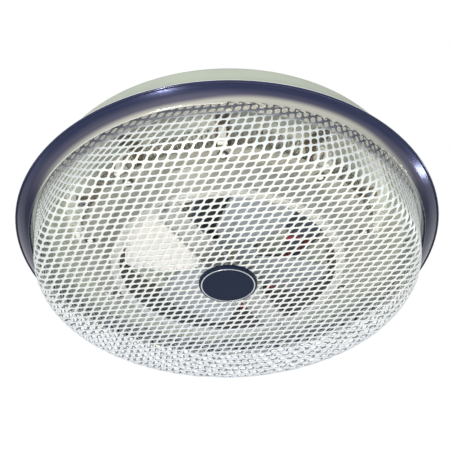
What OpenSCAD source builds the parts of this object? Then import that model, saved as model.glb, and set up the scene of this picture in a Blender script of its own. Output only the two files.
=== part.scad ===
// Ceiling mounted fan heater, low profile, round.
// Frame: the origin is the centre of the face that lies against the ceiling. +Z points up into the
// ceiling and the heater hangs below it, so every height inside the heater is negative.
// The near side of the photo is -Y. Angles are measured from +X towards +Y.

/* [Housing pan] */
// Outer radius of the pan wall
pan_r = 126.9; // [110:0.1:135]
// Height of the pan, from the ceiling to its bottom lip
pan_h = 33; // [28:0.5:40]
// Thickness of the pan's sheet, also used for the shield's posts to stand on
sheet_t = 0.8; // [0.6:0.1:1.2]
// Outside radius of the bend between the back plate and the wall
pan_bend_r = 3; // [1.5:0.5:6]
// Width of the out-turned bottom lip
pan_lip_w = 3.5; // [2:0.5:5]

/* [Trim ring] */
// Outer radius of the whole heater, over the rolled bead
ring_r = 143; // [120:0.5:160]
// Radius of the rolled bead's section
bead_r = 1; // [0.6:0.1:1.5]
// Height of the bead's centre below the ceiling
bead_drop = 31.2; // [28:0.1:36]
// Inner radius of the cove, where the mesh starts
ring_in_r = 133; // [125:0.1:136]
// Height of the cove's inner edge below the ceiling
ring_in_drop = 38.6; // [34:0.1:42]
// Radius of the cove's curve
cove_r = 26; // [8:0.5:30]
// Inner radius of the ring's hidden flange
flange_in_r = 121.5; // [118:0.5:124]

/* [Mesh grille] */
// Height of the mesh's front face below the ceiling
mesh_drop = 67.4; // [60:0.1:75]
// Outer radius of the mesh wall where it leaves the ring
mesh_top_r = 129.8; // [125:0.1:131]
// Outer radius of the mesh wall at its lower corner
mesh_low_r = 127.6; // [122:0.1:130]
// Outside radius of the corner
mesh_corner_r = 8.5; // [5:0.5:15]
// Pitch of the mesh holes along a row
mesh_pitch = 12; // [9:0.5:16]
// Width of the metal between two holes
strand_w = 2.2; // [1.5:0.1:4]
// Turn of the rows of holes about the axis
mesh_turn = -6; // [-30:1:30]
// Holes round the mesh wall
wall_holes = 60; // [40:1:80]
// Rivets that hold the mesh to the ring
grille_rivet_count = 8; // [4:1:12]

/* [Badge and its screw] */
// Radius of the badge
badge_r = 19.3; // [12:0.1:26]
// Thickness of the badge
badge_t = 2.5; // [1.5:0.1:5]
// Diameter of the badge's screw
badge_screw_d = 4; // [3:0.5:6]

/* [Fan shroud] */
// Inner radius of the mouth
mouth_r = 72; // [60:0.5:80]
// Width of the flat lip round the mouth
mouth_lip_w = 5.5; // [4:0.5:8]
// Height of the lip below the ceiling
mouth_drop = 56.4; // [50:0.1:62]
// Radius at the top of the cone
cone_top_r = 84; // [80:0.5:90]
// Height of the element flange below the ceiling
element_flange_drop = 40.4; // [36:0.1:46]
// Outer radius of the element flange
element_flange_r = 99; // [96:0.5:102]

/* [Heating element] */
// Radius of the ring that the coil is strung round
element_r = 95; // [90:0.5:104]
// Height of the coil's axis below the ceiling
element_drop = 27; // [24:0.5:34]
// Mean radius of the coil's curls
curl_r = 4.4; // [3:0.1:4.5]
// Diameter of the resistance wire
wire_d = 1.1; // [0.8:0.1:1.4]
// Curls in the coil
curls = 86; // [40:1:92]
// Insulators round the ring
insulator_count = 9; // [6:1:12]
// Angle of the first insulator
insulator_first = -92; // [-180:1:180]
// Thickness of an insulator along the coil
insulator_t = 4.5; // [4:0.5:6]
// Radius of an insulator's round top
insulator_r = 7; // [6.6:0.1:7.4]
// Width of an element bracket's strip
bracket_w = 9; // [8:1:14]
// Thickness of an element bracket's strip
bracket_t = 1; // [0.8:0.1:1.5]

/* [Fan] */
// Radius over the blade tips
fan_r = 69; // [55:0.5:71]
// Blades of the fan
blade_count = 4; // [3:1:6]
// Angle of the first blade
blade_first = 23; // [0:1:90]
// Pitch of the blades
blade_pitch = 14; // [8:1:18]
// Width of a blade near its tip
blade_w = 52; // [40:1:54]
// Thickness of the blade sheet
blade_t = 1; // [0.6:0.1:1.5]
// Height of the fan's disc below the ceiling
fan_drop = 47; // [45:0.5:48]

/* [Motor] */
// Diameter of the shaft
shaft_d = 4.76; // [4:0.01:6]
// Radial running clearance of the shaft in its bearings
shaft_gap = 0.04; // [0.02:0.01:0.08]
// Radius of the rotor
rotor_r = 13; // [10:0.5:14]
// Air gap between rotor and stator
air_gap = 0.4; // [0.3:0.05:0.8]
// Height of the lamination stack
stack_h = 16; // [12:0.5:18]
// Height of the top of the stack below the ceiling
stack_drop = 15; // [14:0.5:16]
// Distance from the axis to each motor screw
motor_screw_y = 19.5; // [18:0.1:21]

/* [Ceiling mounting] */
// Distance between the two ceiling box screws
box_pitch = 88.9; // [80:0.1:100]
// Diameter of the ceiling box screw holes
box_hole_d = 4.8; // [4:0.1:6]
// Distance from the axis to the wire entry
entry_x = 37; // [32:0.5:38]
// Diameter of the hole through the wire entry bushing
entry_d = 15.9; // [12:0.1:18]

/* [Hidden] */
$fn = 96;
fit_gap = 0.1;         // between a screw and the hole it passes through
rivet_gap = 0.02;      // between a rivet or thread and the hole it fills
seat = 0.001;          // lets a cutter pass clean through a face
rivet_r = 1.6;         // shank of every rivet
rivet_head_r = 2.9;
rivet_head_h = 1;
m4_r = 2;
m3_r = 1.5;
m4_head_r = 3.8;
m4_head_h = 2.4;
m3_head_r = 2.7;
m3_head_h = 1.8;

// housing and ring
pan_in_r = pan_r - sheet_t;
pan_lip_r = pan_r + pan_lip_w;
bead_centre_r = ring_r - bead_r;
flange_z = -pan_h;
collar_r = ring_in_r;
mesh_t = 0.8;
mesh_rim_z = flange_z - sheet_t;
grille_rivet_r = flange_in_r + 2;
grille_shank_r = 1;
grille_head_r = 1.8;
grille_head_h = 0.7;

// mesh
mesh_front_z = -mesh_drop;
mesh_corner_z = mesh_front_z + mesh_corner_r;
mesh_flat_r = mesh_low_r - mesh_corner_r;
mesh_centre_r = badge_r - 7;
wall_hole_r = 4.6;

// badge and its screw
badge_back_z = mesh_front_z;
badge_front_z = badge_back_z - badge_t;
badge_edge = 1;

// shroud and strap
mouth_z = -mouth_drop;
mouth_lip_r = mouth_r + mouth_lip_w;
element_flange_z = -element_flange_drop;
element_flange_top_z = element_flange_z + sheet_t;
neck_top_z = -20;      // the shroud's inner edge is turned up to here, higher than the coil
neck_notch_deep = 2.5; // room left round the element leads where they pass through the neck
strap_screw_l = 4;
strap_rib_in = 3;      // the strap's ribs stop this far inside the mouth
strap_w = 17;
strap_t = 1.2;
strap_angle = 59;
strap_z = mouth_z - strap_t;
strap_screw_r = (mouth_r + mouth_lip_r) / 2;
strap_end_r = mouth_lip_r;
strap_rib_h = 2.4;
strap_rib_r = mouth_r - strap_rib_in;
nut_neck_r = 3;
clinch_r = 4.6;
clinch_h = 2.6;
clinch_top_z = mouth_z + clinch_h;
spacer_r = 5;
spacer_foot_r = 10;
spacer_foot_h = 0.8;
mesh_back_z = mesh_front_z + mesh_t;
spacer_l = strap_z - mesh_back_z;

// heat shield, its posts and the element brackets
shield_z = -6.6;
shield_t = 0.6;
shield_in_r = 72;
shield_flat_r = 112;
shield_rim_r = pan_in_r - 1.2;
shield_rim_z = -31.5;
post_r = 4;
foot_r = 98.5;
foot_out_r = 105;
leg_r = 86;
foot_z = shield_z - bracket_t;
arm_z = element_flange_top_z;
arm_top_z = arm_z + bracket_t;

// insulators and coil
element_z = -element_drop;
insulator_step = 360 / insulator_count;
insulator_hole_r = curl_r + wire_d / 2 + 0.3;
insulator_foot_t = 6;
insulator_foot_h = 2.5;
tenon_r = 1.8;
tenon_at_r = 92.5;
push_nut_r = 3.6;
push_nut_t = 0.6;
tenon_l = bracket_t + sheet_t + push_nut_t + 0.6;
terminal_angle = insulator_first + 4.5 * insulator_step;
terminal_r = 93.6;
terminal_base_l = 30;
terminal_base_w = 13;
terminal_base_h = 7;
terminal_block = 8;
terminal_at = 9;
terminal_face = terminal_at + terminal_block / 2;
terminal_base_top_z = element_flange_top_z + terminal_base_h;
terminal_block_h = element_z - terminal_base_top_z + terminal_block / 2;
terminal_top_z = terminal_base_top_z + terminal_block_h;
terminal_rivet_r = 92;
terminal_bite = 4;
coil_steps = 8;
coil_sides = 6;
coil_half_gap = 12;
coil_run = 3;

// fan
fan_z = -fan_drop;
fan_disc_r = 21;
hub_r = 6;
hub_flange_r = 13;
hub_flange_h = 2;
hub_top_z = fan_z + blade_t + 6;
hub_low_z = fan_z - 5;
fan_rivet_at = 9.6;
fan_rivet_r = 1.4;
fan_rivet_head_r = 2.3;
fan_rivet_head_h = 0.8;
set_screw_z = fan_z + blade_t + 4;
set_screw_r = 1.5;
blade_root_r = 16;
blade_root_w = 25;
blade_waist_r = 34;
blade_waist_w = blade_w * 0.9;
blade_cut_r = 5;

// motor
shaft_r = shaft_d / 2;
bearing_bore_r = shaft_r + shaft_gap;
bearing_r = 4.4;
bearing_h = 5;
stack_z = -stack_drop - stack_h;
stack_top_z = -stack_drop;
stator_bore_r = rotor_r + air_gap;
stack_half_y = 25;
stack_back_x = 18;
arm_half_y = 10;
core_x = 24.6;
core_w = 10;
bobbin_t = 1;
winding_t = 4.2;
bobbin_half_y = arm_half_y - 0.2;
ear_t = 1;
upper_ear_z = stack_top_z;
upper_bridge_z = upper_ear_z + 3.4;
lower_ear_z = stack_z - ear_t;
lower_bridge_z = lower_ear_z - 3.4;
bridge_half_y = 14;
ear_half_y = 24;
motor_bracket_w = 13;
upper_bearing_z = stack_top_z + 2;
lower_bearing_z = lower_bridge_z - 3;
thrust_t = 0.5;
end_ring_h = 1.6;
end_ring_r = 11;
rotor_top_z = upper_bearing_z - thrust_t - 0.1;
lower_bearing_top_z = lower_bearing_z + bearing_h;
rotor_low_z = lower_bearing_top_z + thrust_t + 0.1;
motor_post_r = 4.5;
shaft_top_z = upper_bearing_z + bearing_h + 1;
shaft_low_z = hub_low_z - 0.5;

// wiring
lead_r = 1.3;
lead_bend = 6;
lead_run = 4;          // a lead's ends leave their faces straight, this far
supply_x = -60;
supply_w = 13;
supply_l = 42;
supply_h = 12;
supply_pole_pitch = 12;
clamp_l = 7;
supply_top_z = -sheet_t;
supply_low_z = supply_top_z - supply_h;
supply_mount_at = 18;
bushing_hole_r = entry_d / 2 + 3.1;
bushing_flange_r = bushing_hole_r + 2.4;
bushing_flange_h = 1.6;
bushing_low_z = -sheet_t - 6;
ground_x = -40;
ground_y = -30;
ground_side = 127;     // the side of its head that the ground lead meets, as an angle
cutout_x = 34;
cutout_y = 46;
cutout_r = 8;
cutout_h = 7;
cutout_plate_t = 0.8;
cutout_screw_at = 11.5;
cutout_low_z = -sheet_t - cutout_plate_t - cutout_h;
tab_w = 4;
tab_t = 0.8;
tab_l = 6;
tab_at = 3.6;

// ------------------------------------------------------------------ small shared shapes
// A ring of rectangular section between two radii.
module ring_of(r_out, r_in, z, h) {
    translate([0, 0, z])
        difference() {
            cylinder(h = h, r = r_out);
            translate([0, 0, -seat])
                cylinder(h = h + 2 * seat, r = r_in);
        }
}

// Copies its child evenly round the axis.
module around(count, first = 0) {
    for (i = [0 : count - 1])
        rotate([0, 0, first + i * 360 / count])
            children();
}

// A pan-head screw that hangs head down: the head's upper face is at z.
module screw_up(z, shank_r, head_r, head_h, length) {
    translate([0, 0, z - head_h])
        difference() {
            union() {
                cylinder(h = head_h, r = head_r, $fn = 48);
                cylinder(h = head_h + length, r = shank_r, $fn = 48);
            }
            cross_slot(head_r);
        }
}

// The driver cross in a screw head whose outer face is at z = 0.
module cross_slot(head_r) {
    for (a = [0, 90])
        rotate([0, 0, a])
            translate([-head_r * 0.65, -0.4, -seat])
                cube([head_r * 1.3, 0.8, 1 + seat]);
}

// A rivet through a stack of sheets that lies between z_low and z_top.
module rivet(z_low, z_top, shank_r, head_r, head_h) {
    translate([0, 0, z_low - head_h])
        cylinder(h = head_h, r = head_r, $fn = 48);
    translate([0, 0, z_low - head_h / 2])
        cylinder(h = z_top - z_low + head_h, r = shank_r, $fn = 48);
    translate([0, 0, z_top])
        cylinder(h = head_h, r = head_r, $fn = 48);
}

// An insulated lead: a round tube along a path whose corners are rounded off first.
lead_sides = 12;
bend_steps = 4;
function corner(p, q, r) =
    let (a = p - q, b = r - q, la = norm(a), lb = norm(b), cut = min(lead_bend, la * 0.45, lb * 0.45),
         s = q + a / la * cut, e = q + b / lb * cut)
    [for (k = [0 : bend_steps]) let (t = k / bend_steps, u = 1 - t) u * u * s + 2 * t * u * q + t * t * e];
function rounded(path) = concat(
    [path[0]],
    [for (i = [1 : 1 : len(path) - 2]) each corner(path[i - 1], path[i], path[i + 1])],
    [path[len(path) - 1]]
);
function way(path, i) =
    let (n = len(path) - 1, d = path[min(i + 1, n)] - path[max(i - 1, 0)])
    d / norm(d);
function square_to(u, w) = let (v = u - (u * w) * w) v / norm(v);
// The side directions are carried along the path, so that the tube doesn't twist.
function sides(path) =
    let (n = len(path), w0 = way(path, 0), first = square_to(abs(w0[2]) < 0.7 ? [0, 0, 1] : [1, 0, 0], w0))
    [for (i = 0, u = first; i < n; u = i + 1 < n ? square_to(u, way(path, i + 1)) : u, i = i + 1) u];
function tube_points(path, r) =
    let (u = sides(path))
    [for (i = [0 : len(path) - 1]) let (w = way(path, i), v = cross(w, u[i])) for (k = [0 : lead_sides - 1])
        path[i] + r * (cos(360 * k / lead_sides) * u[i] + sin(360 * k / lead_sides) * v)];
function tube_faces(count, n) = concat(
    [[for (k = [0 : n - 1]) k]],
    [for (i = [0 : count - 2]) for (k = [0 : n - 1])
        let (a = i * n + k, b = i * n + (k + 1) % n)
        each [[a, a + n, b + n], [a, b + n, b]]],
    [[for (k = [n - 1 : -1 : 0]) (count - 1) * n + k]]
);
module lead(path) {
    soft = rounded(path);
    polyhedron(points = tube_points(soft, lead_r), faces = tube_faces(len(soft), lead_sides), convexity = 10);
}

// The point at radius r, angle a, height z.
function polar(r, a, z) = [r * cos(a), r * sin(a), z];

// ------------------------------------------------------------------ housing
module housing_pan() {
    color([0.73, 0.76, 0.71])
        difference() {
            rotate_extrude($fn = 180)
                pan_section();
            for (s = [-1, 1])
                translate([0, s * box_pitch / 2, -sheet_t - seat])
                    cylinder(h = sheet_t + 2 * seat, d = box_hole_d);
            translate([-entry_x, 0, -sheet_t - seat])
                cylinder(h = sheet_t + 2 * seat, r = bushing_hole_r);
            translate([ground_x, ground_y, -sheet_t - seat])
                cylinder(h = sheet_t + 2 * seat, r = m4_r + rivet_gap);
            for (s = [-1, 1])
                translate([supply_x, s * supply_mount_at, -sheet_t - seat])
                    cylinder(h = sheet_t + 2 * seat, r = m3_r + rivet_gap);
            for (s = [-1, 1])
                translate([cutout_x + s * cutout_screw_at, cutout_y, -sheet_t - seat])
                    cylinder(h = sheet_t + 2 * seat, r = m3_r + rivet_gap);
        }
}

// The sheet's section, radius across and height up, drawn as flat runs and one bend.
module pan_section() {
    translate([0, -sheet_t])
        square([pan_r - pan_bend_r, sheet_t]);
    translate([pan_r - pan_bend_r, -pan_bend_r])
        quarter_bend(pan_bend_r, sheet_t);
    translate([pan_in_r, flange_z])
        square([sheet_t, pan_h - pan_bend_r]);
    translate([pan_in_r, flange_z])
        square([pan_lip_r - pan_in_r, sheet_t]);
}

// A quarter of a bent sheet, from straight up round to straight out.
module quarter_bend(r_out, t) {
    intersection() {
        difference() {
            circle(r = r_out);
            circle(r = r_out - t);
        }
        square([r_out, r_out]);
    }
}

// Bright lining that keeps the ceiling cool: a flat ring with a flared skirt.
module heat_shield() {
    color([0.86, 0.89, 0.84])
        difference() {
            rotate_extrude($fn = 180)
                polygon([
                    [shield_in_r, shield_z], [shield_flat_r, shield_z],
                    [shield_rim_r - shield_t, shield_rim_z], [shield_rim_r, shield_rim_z],
                    [shield_flat_r + shield_t / 2, shield_z + shield_t], [shield_in_r, shield_z + shield_t],
                ]);
            around(insulator_count, insulator_first)
                translate([foot_r, 0, shield_z - seat])
                    cylinder(h = shield_t + 2 * seat, r = m4_r + fit_gap, $fn = 32);
        }
}

// Threaded posts that hold the shield off the back plate.
module shield_posts() {
    post_low_z = shield_z + shield_t;
    color([0.7, 0.7, 0.7])
        around(insulator_count, insulator_first)
            translate([foot_r, 0, 0])
                ring_of(post_r, m4_r + rivet_gap, post_low_z, -sheet_t - post_low_z);
}

// ------------------------------------------------------------------ trim ring
cove_start = [bead_centre_r - 0.4, -bead_drop - bead_r * 0.8];
cove_end = [ring_in_r, -ring_in_drop];
cove_chord = cove_end - cove_start;
cove_half = norm(cove_chord) / 2;
cove_up = [cove_chord[1], -cove_chord[0]] / norm(cove_chord);
cove_centre = (cove_start + cove_end) / 2 + cove_up * sqrt(cove_r * cove_r - cove_half * cove_half);
inner_bead_r = 0.8;
inner_bead_at = inner_bead_r / 2; // its centre, in and up from the cove's edge, so that it holds the edge

module trim_ring() {
    color([0.27, 0.29, 0.40])
        difference() {
            rotate_extrude($fn = 180)
                trim_section();
            around(grille_rivet_count)
                translate([grille_rivet_r, 0, flange_z - sheet_t - seat])
                    cylinder(h = sheet_t + 2 * seat, r = grille_shank_r + rivet_gap, $fn = 32);
        }
}

// Rolled outer bead, cove, inner bead, collar and the flange that lies against the pan's lip.
module trim_section() {
    translate([bead_centre_r, -bead_drop])
        circle(r = bead_r, $fn = 32);
    intersection() {
        translate(cove_centre)
            difference() {
                circle(r = cove_r, $fn = 240);
                circle(r = cove_r - sheet_t, $fn = 240);
            }
        polygon([
            cove_centre, cove_centre + 2 * (cove_start - cove_centre),
            cove_start + 2 * (cove_end - cove_centre), cove_centre + 2 * (cove_end - cove_centre),
        ]);
    }
    translate([collar_r - inner_bead_at, -ring_in_drop + inner_bead_at])
        circle(r = inner_bead_r, $fn = 32);
    translate([collar_r - sheet_t, -ring_in_drop + inner_bead_at])
        square([sheet_t, ring_in_drop - inner_bead_at - pan_h]);
    translate([flange_in_r, flange_z - sheet_t])
        square([collar_r - flange_in_r, sheet_t]);
}

// ------------------------------------------------------------------ mesh grille
// The lattice of holes: rows a little off square, as an expanded sheet has them.
row_step = mesh_pitch * 0.97;
row_shift = mesh_pitch * 0.4;
hole_across = mesh_pitch - strand_w;
row_reach = ceil(mesh_flat_r / row_step);
column_reach = ceil(mesh_flat_r / mesh_pitch) + 5;
hole_limit_r = mesh_flat_r - hole_across / 2 - 1;

module mesh_grille() {
    color([0.93, 0.93, 0.90]) {
        difference() {
            rotate_extrude($fn = 180)
                mesh_section();
            for (row = [0, 1])
                around(wall_holes, row * 180 / wall_holes)
                    translate([mesh_low_r - 8, 0, mesh_rim_z - 8.2 - row * 11])
                        rotate([0, 90, 0])
                            cylinder(h = 16, r = wall_hole_r, $fn = 24);
            around(grille_rivet_count)
                translate([grille_rivet_r, 0, mesh_rim_z - mesh_t - seat])
                    cylinder(h = mesh_t + 2 * seat, r = grille_shank_r + rivet_gap, $fn = 32);
        }
        translate([0, 0, mesh_front_z])
            linear_extrude(mesh_t)
                difference() {
                    circle(r = mesh_flat_r, $fn = 180);
                    circle(d = badge_screw_d + 2 * fit_gap, $fn = 32);
                    rotate([0, 0, mesh_turn])
                        mesh_holes();
                }
    }
}

// Rim, wall and rounded corner of the grille.
module mesh_section() {
    translate([flange_in_r, mesh_rim_z - mesh_t])
        square([mesh_top_r - flange_in_r, mesh_t]);
    polygon([
        [mesh_top_r - mesh_t, mesh_rim_z], [mesh_top_r, mesh_rim_z],
        [mesh_low_r, mesh_corner_z], [mesh_low_r - mesh_t, mesh_corner_z],
    ]);
    translate([mesh_flat_r, mesh_corner_z])
        mirror([0, 1])
            quarter_bend(mesh_corner_r, mesh_t);
}

module mesh_holes() {
    for (row = [-row_reach : row_reach])
        for (column = [-column_reach : column_reach]) {
            x = column * mesh_pitch - row * row_shift;
            y = row * row_step;
            if (norm([x, y]) < hole_limit_r && norm([x, y]) > mesh_centre_r)
                translate([x, y])
                    rotate([0, 0, 30])
                        circle(d = hole_across * 1.1, $fn = 6);
        }
}

module grille_rivets() {
    color([0.75, 0.75, 0.74])
        around(grille_rivet_count)
            translate([grille_rivet_r, 0, 0])
                rivet(mesh_rim_z - mesh_t, flange_z, grille_shank_r, grille_head_r, grille_head_h);
}

// ------------------------------------------------------------------ badge and its screw
stud_head_r = 6;
stud_head_h = 1;
badge_line_r = 17.2;
badge_line_w = 0.6;
badge_line_h = 0.15;

module badge() {
    color([0.10, 0.13, 0.22])
        difference() {
            rotate_extrude()
                polygon([
                    [0, badge_back_z], [badge_r, badge_back_z], [badge_r, badge_front_z + badge_edge],
                    [badge_r - badge_edge * 0.3, badge_front_z + badge_edge * 0.3],
                    [badge_r - badge_edge, badge_front_z], [0, badge_front_z],
                ]);
            ring_of(badge_line_r + badge_line_w, badge_line_r, badge_front_z - seat, badge_line_h + seat);
            translate([0, 0, badge_back_z - stud_head_h])
                cylinder(h = stud_head_h + seat, r = stud_head_r + rivet_gap);
        }
}

module badge_stud() {
    color([0.72, 0.72, 0.74]) {
        translate([0, 0, badge_back_z - stud_head_h])
            cylinder(h = stud_head_h, r = stud_head_r);
        translate([0, 0, badge_back_z - stud_head_h / 2])
            cylinder(h = clinch_top_z - badge_back_z + stud_head_h / 2, d = badge_screw_d, $fn = 48);
    }
}

module grille_spacer() {
    color([0.70, 0.71, 0.72])
        difference() {
            union() {
                translate([0, 0, mesh_back_z])
                    cylinder(h = spacer_foot_h, r = spacer_foot_r);
                translate([0, 0, mesh_back_z])
                    cylinder(h = spacer_l, r = spacer_r);
            }
            translate([0, 0, mesh_back_z - seat])
                cylinder(h = spacer_l + 2 * seat, r = badge_screw_d / 2 + fit_gap, $fn = 48);
        }
}

module strap_nut() {
    color([0.72, 0.72, 0.74]) {
        ring_of(nut_neck_r, badge_screw_d / 2 + rivet_gap, strap_z, strap_t);
        ring_of(clinch_r, badge_screw_d / 2 + rivet_gap, mouth_z, clinch_h);
    }
}

module grille_strap() {
    color([0.66, 0.67, 0.66])
        rotate([0, 0, strap_angle])
            difference() {
                union() {
                    translate([-strap_end_r, -strap_w / 2, strap_z])
                        cube([2 * strap_end_r, strap_w, strap_t]);
                    for (s = [0, 1])
                        mirror([0, s, 0])
                            translate([-strap_rib_r, strap_w / 2 - 1, strap_z - strap_rib_h])
                                cube([2 * strap_rib_r, 1, strap_rib_h + seat]);
                }
                translate([0, 0, strap_z - seat])
                    cylinder(h = strap_t + 2 * seat, r = nut_neck_r + rivet_gap, $fn = 48);
                for (s = [-1, 1])
                    translate([s * strap_screw_r, 0, strap_z - seat])
                        cylinder(h = strap_t + 2 * seat, r = m3_r + fit_gap, $fn = 32);
            }
}

module strap_screws() {
    color([0.78, 0.78, 0.80])
        rotate([0, 0, strap_angle])
            for (s = [-1, 1])
                translate([s * strap_screw_r, 0, 0])
                    screw_up(strap_z, m3_r, m3_head_r, m3_head_h, strap_screw_l);
}

// ------------------------------------------------------------------ fan shroud
cone_wall = sheet_t * 1.1;

module fan_shroud() {
    color([0.60, 0.61, 0.60])
        difference() {
            rotate_extrude($fn = 180)
                shroud_section();
            rotate([0, 0, strap_angle])
                for (s = [-1, 1])
                    translate([s * strap_screw_r, 0, mouth_z - seat])
                        cylinder(h = sheet_t + 2 * seat, r = m3_r + rivet_gap, $fn = 32);
            around(insulator_count, insulator_first)
                translate([tenon_at_r, 0, element_flange_z - seat])
                    cylinder(h = sheet_t + 2 * seat, r = tenon_r + fit_gap, $fn = 32);
            rotate([0, 0, terminal_angle])
                translate([terminal_rivet_r, 0, element_flange_z - seat])
                    cylinder(h = sheet_t + 2 * seat, r = rivet_r + rivet_gap, $fn = 32);
            rotate([0, 0, terminal_angle])
                neck_notch();
        }
}

// The notch in the neck that lets the two element leads in.
module neck_notch() {
    half = terminal_at + lead_r + neck_notch_deep;
    notch_low_z = element_z - lead_r - neck_notch_deep;
    translate([cone_top_r / 2, -half, notch_low_z])
        cube([cone_top_r, 2 * half, neck_top_z - notch_low_z + seat]);
}

// Flat lip round the mouth, cone, turned-up neck, and the flange that carries the element.
module shroud_section() {
    translate([mouth_r, mouth_z])
        square([mouth_lip_r - mouth_r, sheet_t]);
    polygon([
        [mouth_lip_r - cone_wall, mouth_z], [mouth_lip_r, mouth_z],
        [cone_top_r + cone_wall, element_flange_z], [cone_top_r + cone_wall, element_flange_top_z],
        [cone_top_r, element_flange_top_z],
    ]);
    translate([cone_top_r, element_flange_z])
        square([element_flange_r - cone_top_r, sheet_t]);
    translate([cone_top_r, element_flange_z])
        square([sheet_t, neck_top_z - element_flange_z]);
}

// ------------------------------------------------------------------ element brackets
module element_brackets() {
    color([0.50, 0.47, 0.42])
        around(insulator_count, insulator_first)
            difference() {
                translate([0, bracket_w / 2, 0])
                    rotate([90, 0, 0])
                        linear_extrude(bracket_w)
                            bracket_section();
                translate([foot_r, 0, foot_z - seat])
                    cylinder(h = bracket_t + 2 * seat, r = m4_r + fit_gap, $fn = 32);
                translate([tenon_at_r, 0, arm_z - seat])
                    cylinder(h = bracket_t + 2 * seat, r = tenon_r + fit_gap, $fn = 32);
            }
}

// A channel that is open outwards: foot under the shield, leg behind the insulator, arm below it.
module bracket_section() {
    translate([leg_r, foot_z])
        square([foot_out_r - leg_r, bracket_t]);
    translate([leg_r, arm_z])
        square([bracket_t, foot_z + bracket_t - arm_z]);
    translate([leg_r, arm_z])
        square([element_flange_r - leg_r, bracket_t]);
}

module bracket_screws() {
    screw_l = bracket_t + shield_t - shield_z - shield_t - sheet_t;
    color([0.78, 0.78, 0.80])
        around(insulator_count, insulator_first)
            translate([foot_r, 0, 0])
                screw_up(foot_z, m4_r, m4_head_r, m4_head_h, screw_l);
}

// ------------------------------------------------------------------ insulators
module insulators() {
    color([0.95, 0.95, 0.92])
        around(insulator_count, insulator_first) {
            translate([0, insulator_t / 2, 0])
                rotate([90, 0, 0])
                    linear_extrude(insulator_t)
                        insulator_section();
            translate([element_r - insulator_r, -insulator_foot_t / 2, arm_top_z])
                cube([2 * insulator_r, insulator_foot_t, insulator_foot_h]);
            translate([tenon_at_r, 0, arm_top_z - tenon_l])
                cylinder(h = tenon_l + 0.5, r = tenon_r, $fn = 32);
        }
}

// A post with a round top and the hole that the coil is threaded through.
module insulator_section() {
    difference() {
        union() {
            translate([element_r, element_z])
                circle(r = insulator_r, $fn = 48);
            translate([element_r - insulator_r, arm_top_z])
                square([2 * insulator_r, element_z - arm_top_z]);
        }
        translate([element_r, element_z])
            circle(r = insulator_hole_r, $fn = 48);
    }
}

module push_nuts() {
    color([0.55, 0.55, 0.56])
        around(insulator_count, insulator_first)
            translate([tenon_at_r, 0, 0])
                ring_of(push_nut_r, tenon_r + rivet_gap, element_flange_z - push_nut_t, push_nut_t);
}

// ------------------------------------------------------------------ heating coil
// One unbroken wire: a straight run out of each terminal post, curls that grow out of it, and the
// curls round the ring. Angles are measured from the terminals.
coil_last = curls * coil_steps;
coil_span = 360 - 2 * coil_half_gap;
function curl_grow(i) = min(1, min(i, coil_last - i) / coil_steps);
function coil_point(i) =
    let (a = coil_half_gap + coil_span * i / coil_last,
         turn = 360 * i / coil_steps,
         r = curl_r * curl_grow(i))
    polar(element_r + r * cos(turn), a, element_z + r * sin(turn));
function coil_end(side, at) = [terminal_r, side * at, element_z];
coil_path = concat(
    [coil_end(1, terminal_face), coil_end(1, terminal_face + coil_run)],
    [for (i = [0 : coil_last]) coil_point(i)],
    [coil_end(-1, terminal_face + coil_run), coil_end(-1, terminal_face)]
);
coil_count = len(coil_path);
function coil_way(i) =
    let (d = coil_path[min(i + 1, coil_count - 1)] - coil_path[max(i - 1, 0)])
    i == 0 ? [0, 1, 0] : i == coil_count - 1 ? [0, 1, 0] : d / norm(d);
// Outward from the coil's own axis, made square to the wire: the sides of the tube start there.
coil_lead_in = 2;
function in_curls(j) = j >= 0 && j <= coil_last;
function coil_turn(i) = let (j = i - coil_lead_in) in_curls(j) ? 360 * j / coil_steps : 0;
function coil_angle(i) =
    let (j = i - coil_lead_in)
    in_curls(j) ? coil_half_gap + coil_span * j / coil_last : 0;
function coil_out(i) =
    let (w = coil_way(i), o = polar(cos(coil_turn(i)), coil_angle(i), sin(coil_turn(i))), u = o - (o * w) * w)
    u / norm(u);
function coil_ring(i) =
    let (w = coil_way(i), u = coil_out(i), v = cross(w, u))
    [for (k = [0 : coil_sides - 1])
        coil_path[i] + wire_d / 2 * (cos(360 * k / coil_sides) * u + sin(360 * k / coil_sides) * v)];
coil_points = [for (i = [0 : coil_count - 1]) each coil_ring(i)];
coil_faces = tube_faces(coil_count, coil_sides);
// Least gap between one curl and the next ones, measured between the path's points.
coil_skip = 5;
coil_gap = min([
    for (i = [0 : coil_count - 1 - coil_steps])
        for (j = [i + coil_skip : min(i + 3 * coil_steps, coil_count - 1)])
            norm(coil_path[i] - coil_path[j])
]) - wire_d;
echo(coil_gap_mm = coil_gap, coil_triangles = len(coil_faces));

module heating_coil() {
    color([0.32, 0.26, 0.24])
        rotate([0, 0, terminal_angle])
            polyhedron(points = coil_points, faces = coil_faces, convexity = 10);
}

// ------------------------------------------------------------------ element terminals
module terminal_base() {
    base_in_r = terminal_r - terminal_base_w / 2;
    color([0.94, 0.94, 0.91])
        rotate([0, 0, terminal_angle])
            difference() {
                translate([base_in_r, -terminal_base_l / 2, element_flange_top_z])
                    cube([terminal_base_w, terminal_base_l, terminal_base_h]);
                translate([terminal_rivet_r, 0, element_flange_top_z - seat])
                    cylinder(h = terminal_base_h + 2 * seat, r = rivet_r + rivet_gap, $fn = 32);
                for (s = [-1, 1])
                    translate([terminal_r, s * terminal_at, terminal_base_top_z - terminal_bite])
                        cylinder(h = terminal_bite + seat, r = m3_r + rivet_gap, $fn = 32);
            }
}

module terminal_rivet() {
    color([0.72, 0.72, 0.72])
        rotate([0, 0, terminal_angle])
            translate([terminal_rivet_r, 0, 0])
                rivet(element_flange_z, terminal_base_top_z, rivet_r, rivet_head_r, rivet_head_h);
}

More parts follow.
